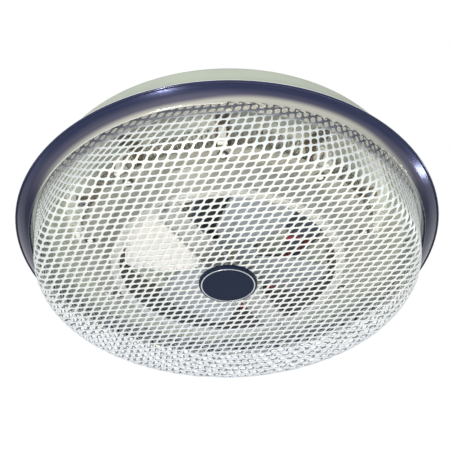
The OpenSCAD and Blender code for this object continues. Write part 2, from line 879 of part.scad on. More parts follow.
module terminal_posts() {
    color([0.80, 0.65, 0.33])
        rotate([0, 0, terminal_angle])
            for (s = [-1, 1])
                difference() {
                    translate([terminal_r - terminal_block / 2, s * terminal_at - terminal_block / 2,
                               terminal_base_top_z])
                        cube([terminal_block, terminal_block, terminal_block_h]);
                    translate([terminal_r, s * terminal_at, terminal_base_top_z - seat])
                        cylinder(h = terminal_block_h + 2 * seat, r = m3_r + rivet_gap, $fn = 32);
                }
}

module terminal_screws() {
    color([0.80, 0.65, 0.33])
        rotate([0, 0, terminal_angle])
            for (s = [-1, 1])
                translate([terminal_r, s * terminal_at, terminal_top_z])
                    mirror([0, 0, 1])
                        screw_up(0, m3_r, m3_head_r, m3_head_h, terminal_block_h + terminal_bite);
}

// ------------------------------------------------------------------ fan
module fan_blades() {
    color([0.80, 0.80, 0.78])
        difference() {
            union() {
                translate([0, 0, fan_z])
                    cylinder(h = blade_t, r = fan_disc_r);
                around(blade_count, blade_first)
                    translate([0, 0, fan_z + blade_t / 2])
                        rotate([blade_pitch, 0, 0])
                            translate([0, 0, -blade_t / 2])
                                linear_extrude(blade_t)
                                    blade_outline();
            }
            translate([0, 0, fan_z - 20])
                cylinder(h = 40, r = hub_r + rivet_gap);
            around(blade_count, blade_first + 45)
                translate([fan_rivet_at, 0, fan_z - seat])
                    cylinder(h = blade_t + 2 * seat, r = fan_rivet_r + rivet_gap, $fn = 32);
        }
}

// A broad paddle: a narrow root that widens to a round tip with cut corners.
module blade_outline() {
    half = [blade_root_w, blade_waist_w, blade_w] / 2;
    corner_x = sqrt(fan_r * fan_r - half[2] * half[2]) - blade_cut_r / 2;
    rim_half = half[2] - blade_cut_r;
    intersection() {
        circle(r = fan_r, $fn = 180);
        polygon([
            [blade_root_r, -half[0]], [blade_waist_r, -half[1]], [corner_x, -half[2]],
            [fan_r, -rim_half], [fan_r, rim_half],
            [corner_x, half[2]], [blade_waist_r, half[1]], [blade_root_r, half[0]],
        ]);
    }
}

module fan_hub() {
    color([0.78, 0.66, 0.36])
        difference() {
            union() {
                translate([0, 0, hub_low_z])
                    cylinder(h = hub_top_z - hub_low_z, r = hub_r);
                translate([0, 0, fan_z + blade_t])
                    cylinder(h = hub_flange_h, r = hub_flange_r);
            }
            translate([0, 0, hub_low_z - seat])
                cylinder(h = hub_top_z - hub_low_z + 2 * seat, r = shaft_r, $fn = 48);
            around(blade_count, blade_first + 45)
                translate([fan_rivet_at, 0, fan_z + blade_t - seat])
                    cylinder(h = hub_flange_h + 2 * seat, r = fan_rivet_r + rivet_gap, $fn = 32);
            translate([0, 0, set_screw_z])
                rotate([0, 90, 0])
                    cylinder(h = hub_r + 1, r = set_screw_r + rivet_gap, $fn = 32);
        }
}

module fan_rivets() {
    color([0.78, 0.78, 0.78])
        around(blade_count, blade_first + 45)
            translate([fan_rivet_at, 0, 0])
                rivet(fan_z, fan_z + blade_t + hub_flange_h, fan_rivet_r, fan_rivet_head_r, fan_rivet_head_h);
}

module fan_set_screw() {
    color([0.25, 0.25, 0.27])
        translate([shaft_r, 0, set_screw_z])
            rotate([0, 90, 0])
                difference() {
                    cylinder(h = hub_r - shaft_r, r = set_screw_r, $fn = 32);
                    translate([-0.3, -set_screw_r, hub_r - shaft_r - 0.8])
                        cube([0.6, 2 * set_screw_r, 1]);
                }
}

module motor_shaft() {
    color([0.75, 0.76, 0.78])
        translate([0, 0, shaft_low_z])
            cylinder(h = shaft_top_z - shaft_low_z, r = shaft_r, $fn = 48);
}

module rotor_core() {
    color([0.62, 0.62, 0.62])
        difference() {
            union() {
                translate([0, 0, rotor_low_z + end_ring_h])
                    cylinder(h = rotor_top_z - rotor_low_z - 2 * end_ring_h, r = rotor_r);
                translate([0, 0, rotor_low_z])
                    cylinder(h = rotor_top_z - rotor_low_z, r = end_ring_r);
            }
            translate([0, 0, rotor_low_z - seat])
                cylinder(h = rotor_top_z - rotor_low_z + 2 * seat, r = shaft_r, $fn = 48);
        }
}

module thrust_washers() {
    color([0.90, 0.88, 0.80]) {
        ring_of(bearing_r, shaft_r, rotor_top_z, thrust_t);
        ring_of(bearing_r, shaft_r, rotor_low_z - thrust_t, thrust_t);
    }
}

// ------------------------------------------------------------------ motor
module stator_core() {
    color([0.45, 0.46, 0.48])
        translate([0, 0, stack_z])
            linear_extrude(stack_h)
                difference() {
                    translate([-stack_back_x, -stack_half_y])
                        square([stack_back_x + core_x + core_w, 2 * stack_half_y]);
                    translate([stack_back_x, -arm_half_y])
                        square([core_x - stack_back_x, 2 * arm_half_y]);
                    circle(r = stator_bore_r);
                    for (s = [-1, 1])
                        translate([0, s * motor_screw_y])
                            circle(r = m4_r + fit_gap, $fn = 32);
                    for (a = [0, 180])
                        rotate(a)
                            for (p = shade_at)
                                translate(p)
                                    circle(r = shade_wire_r + rivet_gap, $fn = 32);
                }
}

// Copper loops through the pole corners, which make the field turn the right way.
shade_at = [[-15.2, 9.2], [-12.4, 15.8]];
shade_wire_r = 1;
shade_reach = 1.4;
shade_bar_t = 1;
shade_bar_half = shade_wire_r + 0.2;
module shading_rings() {
    step = shade_at[1] - shade_at[0];
    bar_l = norm(step) + 2 * shade_bar_half;
    color([0.75, 0.45, 0.28])
        for (a = [0, 180])
            rotate([0, 0, a]) {
                for (p = shade_at)
                    translate([p[0], p[1], stack_z - shade_reach])
                        cylinder(h = stack_h + 2 * shade_reach, r = shade_wire_r, $fn = 32);
                for (z = [stack_z - shade_reach, stack_top_z + shade_reach - shade_bar_t])
                    translate([shade_at[0][0], shade_at[0][1], z])
                        rotate([0, 0, atan2(step[1], step[0])])
                            translate([-shade_bar_half, -shade_bar_half, 0])
                                cube([bar_l, 2 * shade_bar_half, shade_bar_t]);
            }
}

// A block round the core leg: x and z grow by the given amount.
module leg_block(grow, half_y) {
    translate([core_x - grow, -half_y, stack_z - grow])
        cube([core_w + 2 * grow, 2 * half_y, stack_h + 2 * grow]);
}

module bobbin() {
    cheek = 1;
    reach = bobbin_t + winding_t;
    color([0.90, 0.90, 0.86])
        difference() {
            union() {
                leg_block(bobbin_t, bobbin_half_y);
                for (s = [0, 1])
                    mirror([0, s, 0])
                        translate([core_x - reach, bobbin_half_y - cheek, stack_z - reach])
                            cube([core_w + 2 * reach, cheek, stack_h + 2 * reach]);
            }
            leg_block(0, bobbin_half_y + 1);
        }
}

module winding() {
    wound_half_y = bobbin_half_y - 1;
    color([0.72, 0.42, 0.22])
        difference() {
            leg_block(bobbin_t + winding_t - 0.3, wound_half_y);
            leg_block(bobbin_t, wound_half_y + 1);
        }
}

// One bearing bracket. ear is the height of its ears' lower face, bridge that of its bridge.
module bearing_bracket(ear, bridge) {
    low = min(ear, bridge);
    high = max(ear, bridge) + ear_t;
    difference() {
        union() {
            for (s = [0, 1])
                mirror([0, s, 0]) {
                    translate([-motor_bracket_w / 2, bridge_half_y, ear])
                        cube([motor_bracket_w, ear_half_y - bridge_half_y, ear_t]);
                    translate([-motor_bracket_w / 2, bridge_half_y, low])
                        cube([motor_bracket_w, ear_t, high - low]);
                }
            translate([-motor_bracket_w / 2, -bridge_half_y - ear_t, bridge])
                cube([motor_bracket_w, 2 * (bridge_half_y + ear_t), ear_t]);
        }
        translate([0, 0, bridge - seat])
            cylinder(h = ear_t + 2 * seat, r = bearing_r, $fn = 48);
        for (s = [-1, 1])
            translate([0, s * motor_screw_y, ear - seat])
                cylinder(h = ear_t + 2 * seat, r = m4_r + fit_gap, $fn = 32);
    }
}

module upper_bearing_bracket() {
    color([0.74, 0.75, 0.76])
        bearing_bracket(upper_ear_z, upper_bridge_z);
}

module lower_bearing_bracket() {
    color([0.74, 0.75, 0.76])
        bearing_bracket(lower_ear_z, lower_bridge_z);
}

module bearings() {
    color([0.70, 0.55, 0.30]) {
        ring_of(bearing_r, bearing_bore_r, upper_bearing_z, bearing_h);
        ring_of(bearing_r, bearing_bore_r, lower_bearing_z, bearing_h);
    }
}

module motor_posts() {
    post_low_z = upper_ear_z + ear_t;
    color([0.70, 0.71, 0.72])
        for (s = [-1, 1])
            translate([0, s * motor_screw_y, 0])
                ring_of(motor_post_r, m4_r + rivet_gap, post_low_z, -sheet_t - post_low_z);
}

module motor_screws() {
    color([0.78, 0.78, 0.80])
        for (s = [-1, 1])
            translate([0, s * motor_screw_y, 0])
                screw_up(lower_ear_z, m4_r, m4_head_r, m4_head_h, stack_h + 2 * ear_t + 8);
}

// ------------------------------------------------------------------ supply side
module supply_block() {
    color([0.20, 0.20, 0.21])
        difference() {
            translate([supply_x - supply_w / 2, -supply_l / 2, supply_low_z])
                cube([supply_w, supply_l, supply_h]);
            for (s = [-1, 1])
                translate([supply_x, s * supply_mount_at, supply_low_z - seat])
                    cylinder(h = supply_h + 2 * seat, r = m3_r + fit_gap, $fn = 32);
            for (i = [-1 : 1])
                translate([supply_x, i * supply_pole_pitch, supply_low_z - seat])
                    cylinder(h = clamp_l + seat, r = m3_r + rivet_gap, $fn = 32);
        }
}

module supply_clamps() {
    color([0.80, 0.65, 0.33])
        for (i = [-1 : 1])
            translate([supply_x, i * supply_pole_pitch, 0])
                screw_up(supply_low_z, m3_r, m3_head_r, m3_head_h, clamp_l - 0.5);
}

module supply_screws() {
    color([0.78, 0.78, 0.80])
        for (s = [-1, 1])
            translate([supply_x, s * supply_mount_at, 0])
                screw_up(supply_low_z, m3_r, m3_head_r, m3_head_h, supply_h + sheet_t);
}

module entry_bushing() {
    color([0.92, 0.92, 0.90])
        translate([-entry_x, 0, 0])
            difference() {
                union() {
                    translate([0, 0, bushing_low_z])
                        cylinder(h = -bushing_low_z, r = bushing_hole_r);
                    translate([0, 0, -sheet_t - bushing_flange_h])
                        cylinder(h = bushing_flange_h, r = bushing_flange_r);
                }
                translate([0, 0, bushing_low_z - seat])
                    cylinder(h = -bushing_low_z + 2 * seat, d = entry_d);
            }
}

module ground_screw() {
    color([0.30, 0.55, 0.32])
        translate([ground_x, ground_y, 0])
            screw_up(-sheet_t, m4_r, m4_head_r, m4_head_h, sheet_t);
}

// ------------------------------------------------------------------ overheat cut-out
module overheat_cutout() {
    plate_l = 2 * (cutout_screw_at + 3.5);
    plate_w = 9;
    color([0.80, 0.80, 0.78])
        translate([cutout_x, cutout_y, 0]) {
            difference() {
                translate([-plate_l / 2, -plate_w / 2, -sheet_t - cutout_plate_t])
                    cube([plate_l, plate_w, cutout_plate_t]);
                for (s = [-1, 1])
                    translate([s * cutout_screw_at, 0, -sheet_t - cutout_plate_t - seat])
                        cylinder(h = cutout_plate_t + 2 * seat, r = m3_r + fit_gap, $fn = 32);
            }
            translate([0, 0, cutout_low_z])
                cylinder(h = cutout_h, r = cutout_r);
            for (s = [-1, 1])
                translate([s * tab_at - tab_t / 2, -tab_w / 2, cutout_low_z - tab_l])
                    cube([tab_t, tab_w, tab_l + 0.5]);
        }
}

module cutout_screws() {
    color([0.78, 0.78, 0.80])
        for (s = [-1, 1])
            translate([cutout_x + s * cutout_screw_at, cutout_y, 0])
                screw_up(-sheet_t - cutout_plate_t, m3_r, m3_head_r, m3_head_h, sheet_t + cutout_plate_t);
}

// ------------------------------------------------------------------ internal leads
supply_face = supply_x + supply_w / 2;
supply_back = supply_x - supply_w / 2;
lead_z = -9.4;
tab_in = cutout_x - tab_at - tab_t / 2;
tab_out = cutout_x + tab_at + tab_t / 2;
tab_high_z = cutout_low_z - 1.5;
tab_deep_z = tab_high_z - 2 * lead_r - 0.2;
winding_face = core_x + core_w + bobbin_t + winding_t - 0.3;
winding_low_z = stack_z - 1;
post_face = terminal_r - terminal_block / 2;
lead_turn_r = cone_top_r - 5; // where the element leads turn in to their posts
// A point level with the ground screw's head, r from its axis on the supply block's side.
function ground_at(r) = [ground_x, ground_y, -sheet_t - m4_head_h / 2] + polar(r, ground_side, 0);
// A point beside the element terminals: along the ring by t, at radius r.
function at_terminal(t, r, z) =
    [r * cos(terminal_angle) - t * sin(terminal_angle), r * sin(terminal_angle) + t * cos(terminal_angle), z];

module black_lead() {
    color([0.12, 0.12, 0.13])
        lead([
            [supply_face, supply_pole_pitch, lead_z], [supply_face + lead_run, supply_pole_pitch, lead_z],
            [-43, 29, lead_z], [12, 31, lead_z],
            [22, cutout_y, tab_high_z], [tab_in, cutout_y, tab_high_z],
        ]);
}

module red_element_lead() {
    color([0.75, 0.16, 0.18])
        lead([
            [tab_out, cutout_y, tab_deep_z], [tab_out + lead_run, cutout_y, tab_deep_z],
            [45, 50, tab_deep_z - 2], [39, 65, -20],
            at_terminal(-terminal_at, lead_turn_r, element_z),
            at_terminal(-terminal_at, post_face, element_z),
        ]);
}

module white_element_lead() {
    color([0.90, 0.90, 0.88])
        lead([
            at_terminal(terminal_at, post_face, element_z), at_terminal(terminal_at, lead_turn_r, element_z),
            [-42, 65, -20], [-70, 24, -13], [-74, 4, lead_z],
            [supply_back - lead_run, 0, lead_z], [supply_back, 0, lead_z],
        ]);
}

module red_motor_lead() {
    color([0.75, 0.16, 0.18])
        lead([
            [winding_face, -3, winding_low_z], [winding_face + lead_run, -3, winding_low_z],
            [50, -2, winding_low_z], [58, 8, -24], [50, 38, tab_high_z],
            [tab_out + lead_run, cutout_y, tab_high_z], [tab_out, cutout_y, tab_high_z],
        ]);
}

module white_motor_lead() {
    color([0.90, 0.90, 0.88])
        lead([
            [winding_face, 5, -20], [winding_face + lead_run, 5, -20], [45, 9, -14],
            [40, 27, -12.6], [-33, 26.5, -12.6], [-46, 3, lead_z],
            [supply_face + lead_run, 0, lead_z], [supply_face, 0, lead_z],
        ]);
}

module ground_lead() {
    color([0.20, 0.50, 0.25])
        lead([
            [supply_face, -supply_pole_pitch, lead_z], [supply_face + lead_run, -supply_pole_pitch, lead_z],
            [-46, -17, -5], ground_at(m4_head_r + lead_run), ground_at(m4_head_r),
        ]);
}

// ------------------------------------------------------------------ the list of pieces
housing_pan();
heat_shield();
shield_posts();
element_brackets();
bracket_screws();
fan_shroud();
insulators();
push_nuts();
heating_coil();
terminal_base();
terminal_rivet();
terminal_posts();
terminal_screws();
stator_core();
bobbin();
winding();
shading_rings();
upper_bearing_bracket();
lower_bearing_bracket();
bearings();
motor_posts();
motor_screws();
supply_block();
supply_clamps();
supply_screws();
entry_bushing();
ground_screw();
overheat_cutout();
cutout_screws();
black_lead();
red_element_lead();
white_element_lead();
red_motor_lead();
white_motor_lead();
ground_lead();
grille_strap();
strap_screws();
strap_nut();
trim_ring();
mesh_grille();
grille_rivets();
badge();
badge_stud();
grille_spacer();
motor_shaft();
rotor_core();
thrust_washers();
fan_hub();
fan_blades();
fan_rivets();
fan_set_screw();
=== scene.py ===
# %% [markdown]
# # A round fan heater for a ceiling
#
# This notebook dresses a heater that was drawn in CAD. The CAD gives every piece its place and size
# in one frame: metres, +Z up into the ceiling, the origin in the middle of the back plate. Here the
# pieces that CAD can only rough out are modelled again, such as the expanded metal grille and the
# fine heating coil, and every surface gets a finish made of nodes.

import math

import bpy
from mathutils import Matrix, Vector


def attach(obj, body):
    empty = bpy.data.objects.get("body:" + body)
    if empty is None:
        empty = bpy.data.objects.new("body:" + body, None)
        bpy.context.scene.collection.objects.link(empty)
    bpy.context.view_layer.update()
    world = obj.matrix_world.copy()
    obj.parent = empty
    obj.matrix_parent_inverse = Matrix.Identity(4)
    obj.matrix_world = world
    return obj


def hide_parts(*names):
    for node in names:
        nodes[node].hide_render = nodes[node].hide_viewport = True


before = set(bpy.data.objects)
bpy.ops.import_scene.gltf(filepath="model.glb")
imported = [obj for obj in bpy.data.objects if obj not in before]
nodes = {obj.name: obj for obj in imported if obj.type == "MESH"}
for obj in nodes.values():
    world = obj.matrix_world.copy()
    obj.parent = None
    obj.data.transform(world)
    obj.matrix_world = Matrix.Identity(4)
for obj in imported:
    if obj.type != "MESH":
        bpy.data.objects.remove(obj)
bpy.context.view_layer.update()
MM = 0.001
print("CAD nodes:", len(nodes))

# %% [markdown]
# ## The camera
#
# The photo looks up at the heater from below and in front, so the side nearest to us is at the top
# of the picture. A camera could be turned by hand until the picture fits. Here its place, its
# direction and its lens were worked out from the heater's outline and its badge, and the lens is
# given as a focal length in pixels, which is what such a fit finds.


# %% Camera
def start():
    """Nothing selected, nothing in edit mode."""
    if bpy.context.object and bpy.context.object.mode != "OBJECT":
        bpy.ops.object.mode_set(mode="OBJECT")
    bpy.ops.object.select_all(action="DESELECT")


EYE = Vector((-0.00787, -0.48003, -0.42284))
LOOK = Vector((0.01027, 0.76407, 0.64505)).normalized()
PICTURE_UP = Vector((0.00662, -0.64512, 0.76405))
FOCAL_PIXELS = 903.78
PICTURE_PIXELS = 450
SENSOR_MM = 36

start()
bpy.ops.object.camera_add(location=EYE)
camera = bpy.context.object
camera.name = "photo_camera"
to_right = LOOK.cross(PICTURE_UP).normalized()
facing = Matrix((to_right, to_right.cross(LOOK), -LOOK)).transposed().to_4x4()
camera.matrix_world = Matrix.Translation(EYE) @ facing
camera.data.sensor_width = SENSOR_MM
camera.data.lens = FOCAL_PIXELS * SENSOR_MM / PICTURE_PIXELS
camera.data.clip_start = 10 * MM
bpy.context.scene.camera = camera
bpy.context.scene.view_settings.view_transform = "Standard"
print("camera stands", round(EYE.length, 3), "m from the back plate")
print("its lens is", round(camera.data.lens, 1), "mm")

# %% [markdown]
# ## The light
#
# The background is plain white. A room as bright as that would wash every shadow out, so the white
# only shows to the camera, in reflections and through what is clear, and a softer sky lights the
# heater. The lamps add what the photo shows. The key lamp gives the ring its upper left highlight,
# with a smaller and brighter lamp in the same place for its fleck, and the edge lamp gives the one on
# the right. Two lamps fill in from below and from the front, and stay out of reflections. The last
# one is low and warm, and one blade of the fan mirrors it.

# %% World
world = bpy.data.worlds.new("studio")
bpy.context.scene.world = world
world.use_nodes = True
sky = world.node_tree
sky.nodes.clear()


def sky_node(kind, inputs):
    """A node of the sky, with its inputs linked to sockets or set to values."""
    made = sky.nodes.new(kind)
    for key, value in inputs.items():
        if isinstance(value, bpy.types.NodeSocket):
            sky.links.new(value, made.inputs[key])
        else:
            made.inputs[key].default_value = value
    return made


def either(first, second):
    """1 where one of two kinds of ray looks at the sky."""
    made = sky_node("ShaderNodeMath", {0: first, 1: second})
    made.operation = "MAXIMUM"
    return made.outputs[0]


paths = sky_node("ShaderNodeLightPath", {}).outputs
looked_at = either(either(paths["Is Camera Ray"], paths["Is Glossy Ray"]), paths["Is Transmission Ray"])
soft_light = sky_node("ShaderNodeBackground", {"Color": (0.96, 0.985, 1.0, 1), "Strength": 0.6})
white_card = sky_node("ShaderNodeBackground", {"Color": (1, 1, 1, 1), "Strength": 1.0})
chosen = sky_node("ShaderNodeMixShader", {0: looked_at, 1: soft_light.outputs[0], 2: white_card.outputs[0]})
sky_node("ShaderNodeOutputWorld", {0: chosen.outputs[0]})
print("nodes in the sky:", len(sky.nodes))


# %% Lamps
def soft_box(name, place, aim, size, watts, colour):
    """A lamp that faces a point. Its size is a width and a height."""
    start()
    bpy.ops.object.light_add(type="AREA", location=place)
    lamp = bpy.context.object
    lamp.name = name
    lamp.rotation_euler = (Vector(aim) - Vector(place)).to_track_quat("-Z", "Y").to_euler()
    lamp.data.shape = "RECTANGLE"
    lamp.data.size, lamp.data.size_y = size
    lamp.data.energy = watts
    lamp.data.color = colour
    return lamp


UPPER_LEFT = (-0.59, -1.07, -0.66)
GRILLE_MIDDLE = (0, 0, -0.05)
PAN_MIDDLE = (0, 0, -0.03)
RIGHT_EDGE = (0.1, 0, -0.03)
LEFT_BLADE = (-0.045, -0.01, -0.047)

soft_box("key_lamp", UPPER_LEFT, GRILLE_MIDDLE, (0.08, 0.2), 6, (1.0, 0.97, 0.9))
fleck_lamp = soft_box("fleck_lamp", UPPER_LEFT, GRILLE_MIDDLE, (0.05, 0.07), 3.5, (1.0, 0.86, 0.6))
soft_box("edge_lamp", (1.15, 0.25, -0.24), RIGHT_EDGE, (0.1, 0.28), 2, (0.97, 0.98, 1.0))
low_lamp = soft_box("low_lamp", (0.0, 0.12, -1.05), GRILLE_MIDDLE, (0.4, 0.4), 4, (0.96, 0.98, 1.0))
front_lamp = soft_box("front_lamp", (-0.04, -0.62, -0.56), PAN_MIDDLE, (0.16, 0.16), 5.6, (1.0, 1.0, 0.99))
soft_box("blade_card", (0.1, 0.39, -0.95), LEFT_BLADE, (0.3, 0.3), 1.7, (1.0, 0.82, 0.6))
fleck_lamp.visible_diffuse = False
low_lamp.visible_glossy = front_lamp.visible_glossy = False
print("lamps:", len(bpy.data.lights))

# %% [markdown]
# ## Finishes
#
# A finish is a Principled shader and the patterns that feed it. Shader sums would take a page of
# nodes each, so a small class wraps a node's output and gives it Python's operators: an expression
# then adds the Math nodes itself. All patterns read Object coordinates, which here are the real
# metres of the heater, so a scale of a millimetre is a real millimetre.


# %% Shader sums as expressions
def rgb(*shown):
    """A colour as a picture shows it, 0 to 255, turned into the linear one that shaders use."""
    linear = [c / 255 / 12.92 if c <= 10 else ((c / 255 + 0.055) / 1.055) ** 2.4 for c in shown]
    return (*linear, 1.0)


class Field:
    """Something that varies over a surface: an output socket with operators."""

    def __init__(self, finish, socket):
        self.finish = finish
        self.socket = socket

    def math(self, operation, *others):
        inputs = dict(enumerate((self, *others)))
        return self.finish.node("ShaderNodeMath", {"operation": operation}, inputs)

    def __add__(self, other):
        return self.math("ADD", other)

    def __sub__(self, other):
        return self.math("SUBTRACT", other)

    def __mul__(self, other):
        return self.math("MULTIPLY", other)

    def __truediv__(self, other):
        return self.math("DIVIDE", other)

    def __rsub__(self, other):
        return self.finish.node("ShaderNodeMath", {"operation": "SUBTRACT"}, {0: other, 1: self})

    __radd__ = __add__

    def rise(self, low, high):
        """0 below low, 1 above high, smooth between."""
        inputs = {0: self, 1: low, 2: high, 3: 0.0, 4: 1.0}
        return self.finish.node("ShaderNodeMapRange", {"interpolation_type": "SMOOTHSTEP"}, inputs)

    def band(self, middle, half, soft):
        """1 within half of the middle, falling to 0 over soft."""
        return 1 - (self - middle).math("ABSOLUTE").rise(half, half + soft)

    def waves(self, pitch):
        """A sine from -1 to 1 that repeats every pitch metres."""
        return (self * (math.tau / pitch)).math("SINE")


# %% A finish
class Finish:
    """A material: constants go on the shader's own sockets, patterns are linked to it."""

    def __init__(self, name, **constants):
        self.material = bpy.data.materials.new(name)
        self.material.use_nodes = True
        self.tree = self.material.node_tree
        self.shader = self.tree.nodes["Principled BSDF"]
        for socket, value in constants.items():
            self.shader.inputs[socket.replace("_", " ")].default_value = value

    def node(self, kind, settings=None, inputs=None, output=0):
        """Adds a node. A field among its inputs is linked, and anything else is set."""
        made = self.tree.nodes.new(kind)
        for key, value in (settings or {}).items():
            setattr(made, key, value)
        for key, value in (inputs or {}).items():
            if isinstance(value, Field):
                self.tree.links.new(value.socket, made.inputs[key])
            else:
                made.inputs[key].default_value = value
        return Field(self, made.outputs[output])

    def place(self):
        """Object coordinates, in metres."""
        return self.node("ShaderNodeTexCoord", output="Object")

    def axis(self, letter):
        """How far along X, Y or Z a point lies."""
        return self.node("ShaderNodeSeparateXYZ", {}, {0: self.place()}, letter)

    def radius(self):
        """How far from the fan's axis a point lies."""
        x = self.axis("X")
        y = self.axis("Y")
        return (x * x + y * y).math("SQRT")

    def noise(self, size, stretch=(1, 1, 1)):
        """Noise whose blotches are about size metres across."""
        scaled = self.node("ShaderNodeMapping", {}, {"Vector": self.place(), "Scale": stretch})
        return self.node("ShaderNodeTexNoise", {}, {"Vector": scaled, "Scale": 1 / size, "Detail": 3.0})

    def lathe_grain(self, pitch, run):
        """Fine lines that run round the axis: pitch apart, and run of them in a row to a radian."""
        never_zero = 0.001 * MM
        radius = self.radius() + never_zero
        across = (radius + self.axis("Z") * 1.3) / pitch  # with the height, upright walls get lines too
        along = {1: self.axis("X") / radius * run, 2: self.axis("Y") / radius * run}
        wrapped = self.node("ShaderNodeCombineXYZ", {}, {0: across, **along})
        return self.node("ShaderNodeTexNoise", {}, {"Vector": wrapped, "Scale": 1.0, "Detail": 4.0})

    def mix(self, mask, first, second):
        """The first colour where the mask is 0, the second where it is 1."""
        return self.node("ShaderNodeMix", {"data_type": "RGBA"}, {0: mask, 6: first, 7: second}, 2)

    def feed(self, socket, field):
        """Links a pattern to one of the shader's sockets."""
        self.tree.links.new(field.socket, self.shader.inputs[socket])

    def wear(self, height, depth):
        """Bump from a height between 0 and 1 that stands depth metres proud."""
        bump = self.node("ShaderNodeBump", {}, {"Height": height, "Distance": depth, "Strength": 1.0})
        self.feed("Normal", bump)

    def put_on(self, *pieces):
        """Dresses new pieces, or CAD nodes by name."""
        for piece in pieces:
            dressed = nodes[piece] if isinstance(piece, str) else piece
            dressed.data.materials.clear()
            dressed.data.materials.append(self.material)
        print(self.material.name, "has", len(self.tree.nodes), "nodes, pieces dressed:", len(pieces))


print("finishes can be mixed")

# %% [markdown]
# ## Sheet metal finishes
#
# The housing is a pressed steel pan in a pale grey-green lacquer over fine brush lines. Its inside
# above the fan gets a painted cool shade, as little light reaches it. The heat shield behind the
# coil is pale, slightly dull aluminium, and the coil has warmed its colour. The shroud round the
# fan is zinc-coated steel, whose crystals show as faint flakes, and its rolled lip gets a painted
# highlight. A photo of metal could be laid on each, but it would show its seams, so each is one
# colour family, broken up by its own grain.

# %% Housing
PAN_SHEET = 0.8 * MM
FAN_SPACE_R = 84 * MM


def housing_finish():
    made = Finish("pan_lacquer", Metallic=0.35)
    grain = made.lathe_grain(0.6 * MM, 6)
    clouds = made.noise(40 * MM)
    colour = made.mix(grain, rgb(178, 185, 172), rgb(162, 169, 157))
    colour = made.mix(clouds.rise(0.45, 0.75) * 0.5, colour, rgb(152, 159, 149))
    inside = 1 - made.axis("Z").rise(-PAN_SHEET + 0.1 * MM, -PAN_SHEET / 2)  # the face that looks down
    above_fan = inside * (1 - made.radius().rise(FAN_SPACE_R - 2 * MM, FAN_SPACE_R + 2 * MM))
    # painted cool shade: the pan's inside above the fan is coloured as though in shadow
    shade = made.mix(clouds, rgb(160, 170, 188), rgb(140, 150, 170))
    made.feed("Base Color", made.mix(above_fan, colour, shade))
    made.feed("Roughness", 0.34 + grain * 0.2 + above_fan * 0.25)
    made.wear(grain * 0.6 + made.noise(2 * MM) * 0.4, 0.04 * MM)
    return made


housing_finish().put_on("housing_pan")

# %% Heat shield
COIL_R = 95 * MM  # the heating coil runs round the axis at this distance
COIL_Z = -27 * MM  # and this far below the ceiling


def shield_finish():
    made = Finish("shield_aluminium", Metallic=0.45)
    grain = made.lathe_grain(0.8 * MM, 4)
    heat = made.radius().band(COIL_R + 1 * MM, 4 * MM, 12 * MM) * made.noise(20 * MM).rise(0.3, 0.8)
    colour = made.mix(grain, rgb(247, 252, 241), rgb(237, 243, 232))
    made.feed("Base Color", made.mix(heat * 0.35, colour, rgb(212, 204, 182)))
    made.feed("Roughness", 0.3 + grain * 0.2)
    made.wear(grain * 0.5 + made.noise(6 * MM) * 0.5, 0.08 * MM)
    return made


shield_finish().put_on("heat_shield")

# %% Shroud
ZINC_FLAKE = 6.25 * MM
LIP_Z = -55.4 * MM  # the rolled lip lies below this


def shroud_finish():
    made = Finish("zinc_coat", Metallic=0.8)
    cells = {"Vector": made.place(), "Scale": 1 / ZINC_FLAKE}
    flakes = made.node("ShaderNodeTexVoronoi", {}, cells, "Color")
    flake = made.node("ShaderNodeSeparateColor", {}, {0: flakes})
    grain = made.lathe_grain(0.9 * MM, 3)
    colour = made.mix(flake * 0.6 + grain * 0.4, rgb(202, 203, 197), rgb(178, 180, 175))
    # painted highlight: the rolled lip is coloured brighter than the rest of the shroud
    lip_highlight = 1 - made.axis("Z").rise(LIP_Z, LIP_Z + 0.5 * MM)
    made.feed("Base Color", made.mix(lip_highlight, colour, rgb(240, 242, 240)))
    made.feed("Roughness", 0.34 + flake * 0.16 + grain * 0.06)
    made.wear(grain, 0.04 * MM)
    return made


shroud_finish().put_on("fan_shroud")

# %% [markdown]
# ## The trim ring's finish
#
# The ring is polished and anodised navy, which shows almost pure along its outer edge. Painted
# reflection makes it a purple grey half way in and, on the near side, paler, to a beige at its
# inner edge; painted shade keeps it navy at its left and right. The back of its outer bead and
# its inner bead carry painted highlights, thin bright lines. Such bands could be painted on an
# image, but a few masks do it: distance from the axis, height and direction decide, so the colour
# sits on the ring and not on the view.

# %% Trim ring
RING_IN_R = 133 * MM
RING_W = 9 * MM  # from there to the middle of the outer bead
BEAD_BACK_Z = -31.3 * MM  # the outer bead carries a painted highlight above this
INNER_BEAD_Z = -37.6 * MM  # and the inner bead a painted highlight below this
COLLAR_Z = -34.8 * MM  # above this, the ring's inside is seen through the mesh


